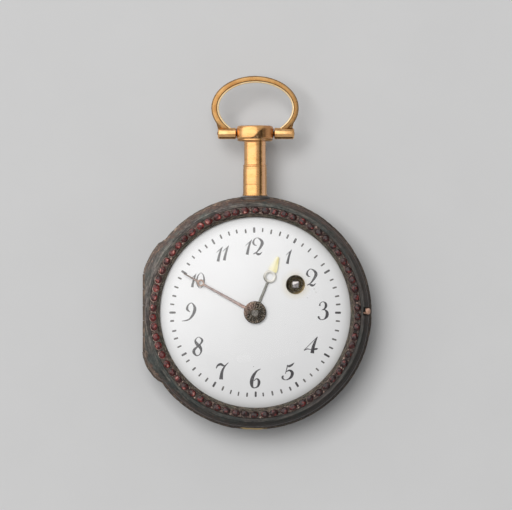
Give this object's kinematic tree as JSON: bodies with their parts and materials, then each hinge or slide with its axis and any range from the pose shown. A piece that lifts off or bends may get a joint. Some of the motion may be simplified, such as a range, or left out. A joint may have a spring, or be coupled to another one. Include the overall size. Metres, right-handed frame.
{
  "type": "pocket watch",
  "caption": "Antique key-wound pocket watch lying on its back: hinged case with stone-set bezel, white dial, two hands, pendant with oval bow, verge movement with fusee inside.",
  "frame": {"origin": "middle of the flat land on the back cover, on the axis of the case", "axes": "+Z out of the dial, +Y towards the pendant at 12 o'clock, +X towards 3 o'clock"},
  "size_m": [0.049, 0.0757, 0.0184],
  "materials": {
    "case_band": "worn darkened silver",
    "back_cover": "worn darkened silver",
    "bezel": "worn darkened silver",
    "stone_ring": "cut dark red stones",
    "crystal": "clear polished",
    "hinge_pin": "polished steel",
    "push_piece": "worn copper",
    "latch_spring": "polished steel",
    "pendant": "polished gilt",
    "bow": "polished gilt",
    "bow_pin": "polished gilt",
    "dial": "glossy white enamel",
    "dial_plate": "fire-gilt matt",
    "pillar_plate": "fire-gilt matt",
    "top_plate": "fire-gilt matt",
    "pillar_1": "fire-gilt matt",
    "pillar_2": "fire-gilt matt",
    "pillar_3": "fire-gilt matt",
    "pillar_4": "fire-gilt matt",
    "cannon_pinion": "polished steel",
    "minute_wheel": "fire-gilt matt",
    "minute_stud": "polished steel",
    "hour_wheel": "fire-gilt matt",
    "hour_hand": "polished steel",
    "minute_hand": "worn copper",
    "barrel": "fire-gilt matt",
    "barrel_cover": "fire-gilt matt",
    "barrel_arbor": "polished steel",
    "mainspring": "blued steel",
    "ratchet_wheel": "polished steel",
    "ratchet_click": "polished steel",
    "fusee": "fire-gilt matt",
    "great_wheel": "fire-gilt matt",
    "fusee_arbor": "polished steel",
    "fusee_chain": "polished steel",
    "centre_arbor": "polished steel",
    "centre_wheel": "fire-gilt matt",
    "third_arbor": "polished steel",
    "third_wheel": "fire-gilt matt",
    "contrate_arbor": "polished steel",
    "contrate_wheel": "fire-gilt matt",
    "escape_arbor": "polished steel",
    "escape_wheel": "fire-gilt matt",
    "verge": "polished steel",
    "potence": "fire-gilt matt",
    "counter_potence": "fire-gilt matt",
    "balance_wheel": "polished steel",
    "balance_spring": "blued steel",
    "spring_stud": "fire-gilt matt",
    "balance_cock": "fire-gilt matt",
    "cock_screw_1": "blued steel",
    "cock_screw_2": "blued steel",
    "end_piece": "polished steel",
    "figure_plate": "glossy white enamel",
    "regulator": "blued steel"
  },
  "bodies": {
    "case": {"case_band": "case_band", "hinge_pin": "hinge_pin", "pendant": "pendant", "bow_pin": "bow_pin", "dial": "dial", "dial_plate": "dial_plate", "pillar_plate": "pillar_plate", "top_plate": "top_plate", "pillar_1": "pillar_1", "pillar_2": "pillar_2", "pillar_3": "pillar_3", "pillar_4": "pillar_4", "minute_stud": "minute_stud", "barrel_arbor": "barrel_arbor", "mainspring": "mainspring", "ratchet_wheel": "ratchet_wheel", "ratchet_click": "ratchet_click", "fusee_chain": "fusee_chain", "potence": "potence", "counter_potence": "counter_potence", "balance_spring": "balance_spring", "spring_stud": "spring_stud", "balance_cock": "balance_cock", "cock_screw_1": "cock_screw_1", "cock_screw_2": "cock_screw_2", "end_piece": "end_piece", "figure_plate": "figure_plate"},
    "bezel": {"bezel": "bezel", "stone_ring": "stone_ring", "crystal": "crystal", "latch_spring": "latch_spring"},
    "push": {"push_piece": "push_piece"},
    "cover": {"back_cover": "back_cover"},
    "bow": {"bow": "bow"},
    "balance": {"balance_wheel": "balance_wheel", "verge": "verge"},
    "regulator": {"regulator": "regulator"},
    "third": {"third_arbor": "third_arbor", "third_wheel": "third_wheel"},
    "contrate": {"contrate_arbor": "contrate_arbor", "contrate_wheel": "contrate_wheel"},
    "escape": {"escape_arbor": "escape_arbor", "escape_wheel": "escape_wheel"},
    "centre": {"centre_arbor": "centre_arbor", "centre_wheel": "centre_wheel"},
    "fusee": {"fusee": "fusee", "great_wheel": "great_wheel", "fusee_arbor": "fusee_arbor"},
    "barrel": {"barrel": "barrel", "barrel_cover": "barrel_cover"},
    "minute": {"minute_hand": "minute_hand", "cannon_pinion": "cannon_pinion"},
    "minute_wheel": {"minute_wheel": "minute_wheel"},
    "hour": {"hour_wheel": "hour_wheel", "hour_hand": "hour_hand"}
  },
  "joints": [
    {"name": "bezel_open", "type": "hinge", "parent": "case", "child": "bezel", "pos_m": [-0.02335, 0, 0.01178], "axis": [0, -1, 0], "range_deg": [0, 85]},
    {"name": "back_open", "type": "hinge", "parent": "case", "child": "cover", "pos_m": [-0.02335, 0, 0.01178], "axis": [0, 1, 0], "range_deg": [0, 85]},
    {"name": "push_in", "type": "slide", "parent": "bezel", "child": "push", "axis": [-1, 0, 0], "range_m": [0, 0.0004], "stiffness_N_per_m": 500},
    {"name": "bow_swing", "type": "hinge", "parent": "case", "child": "bow", "pos_m": [0, 0.0384, 0.01178], "axis": [1, 0, 0], "range_deg": [-160, 160]},
    {"name": "balance_swing", "type": "hinge", "parent": "case", "child": "balance", "pos_m": [-0.0035, -0.0088, 0.0027], "axis": [0, 0, 1], "range_deg": [-50, 50], "stiffness_Nm_per_rad": 0.0000005},
    {"name": "regulator_turn", "type": "hinge", "parent": "case", "child": "regulator", "pos_m": [0.0078, 0.0034, 0.00418], "axis": [0, 0, 1], "range_deg": [-100, 100]},
    {"name": "third_turn", "type": "hinge", "parent": "case", "child": "third", "pos_m": [0.00623, -0.00318, 0.0059], "axis": [0, 0, 1], "continuous": true},
    {"name": "contrate_turn", "type": "hinge", "parent": "case", "child": "contrate", "pos_m": [0.0072, -0.0088, 0.008], "axis": [0, 0, 1], "continuous": true},
    {"name": "escape_turn", "type": "hinge", "parent": "case", "child": "escape", "pos_m": [-0.001, -0.0088, 0.00798], "axis": [1, 0, 0], "continuous": true},
    {"name": "centre_turn", "type": "hinge", "parent": "case", "child": "centre", "pos_m": [0, 0, 0.0102], "axis": [0, 0, 1], "continuous": true},
    {"name": "fusee_turn", "type": "hinge", "parent": "case", "child": "fusee", "pos_m": [0.00863, 0.00605, 0.008], "axis": [0, 0, 1], "continuous": true},
    {"name": "barrel_turn", "type": "hinge", "parent": "case", "child": "barrel", "pos_m": [-0.0093, 0.0055, 0.0076], "axis": [0, 0, 1], "continuous": true},
    {"name": "hand_set", "type": "hinge", "parent": "case", "child": "minute", "pos_m": [0, 0, 0.0162], "axis": [0, 0, 1], "continuous": true},
    {"name": "minute_wheel_turn", "type": "hinge", "parent": "case", "child": "minute_wheel", "pos_m": [-0.0013, -0.00357, 0.0123], "axis": [0, 0, 1], "continuous": true},
    {"name": "hour_turn", "type": "hinge", "parent": "case", "child": "hour", "pos_m": [0, 0, 0.0157], "axis": [0, 0, 1], "continuous": true}
  ],
  "couplings": [
    {"joint": "contrate_turn", "follows": "third_turn", "ratio": -8},
    {"joint": "escape_turn", "follows": "third_turn", "ratio": -56},
    {"joint": "centre_turn", "follows": "third_turn", "ratio": -0.11111},
    {"joint": "fusee_turn", "follows": "third_turn", "ratio": 0.027778},
    {"joint": "barrel_turn", "follows": "third_turn", "ratio": 0.0204},
    {"joint": "minute_wheel_turn", "follows": "hand_set", "ratio": -0.33333},
    {"joint": "hour_turn", "follows": "hand_set", "ratio": 0.083333}
  ]
}
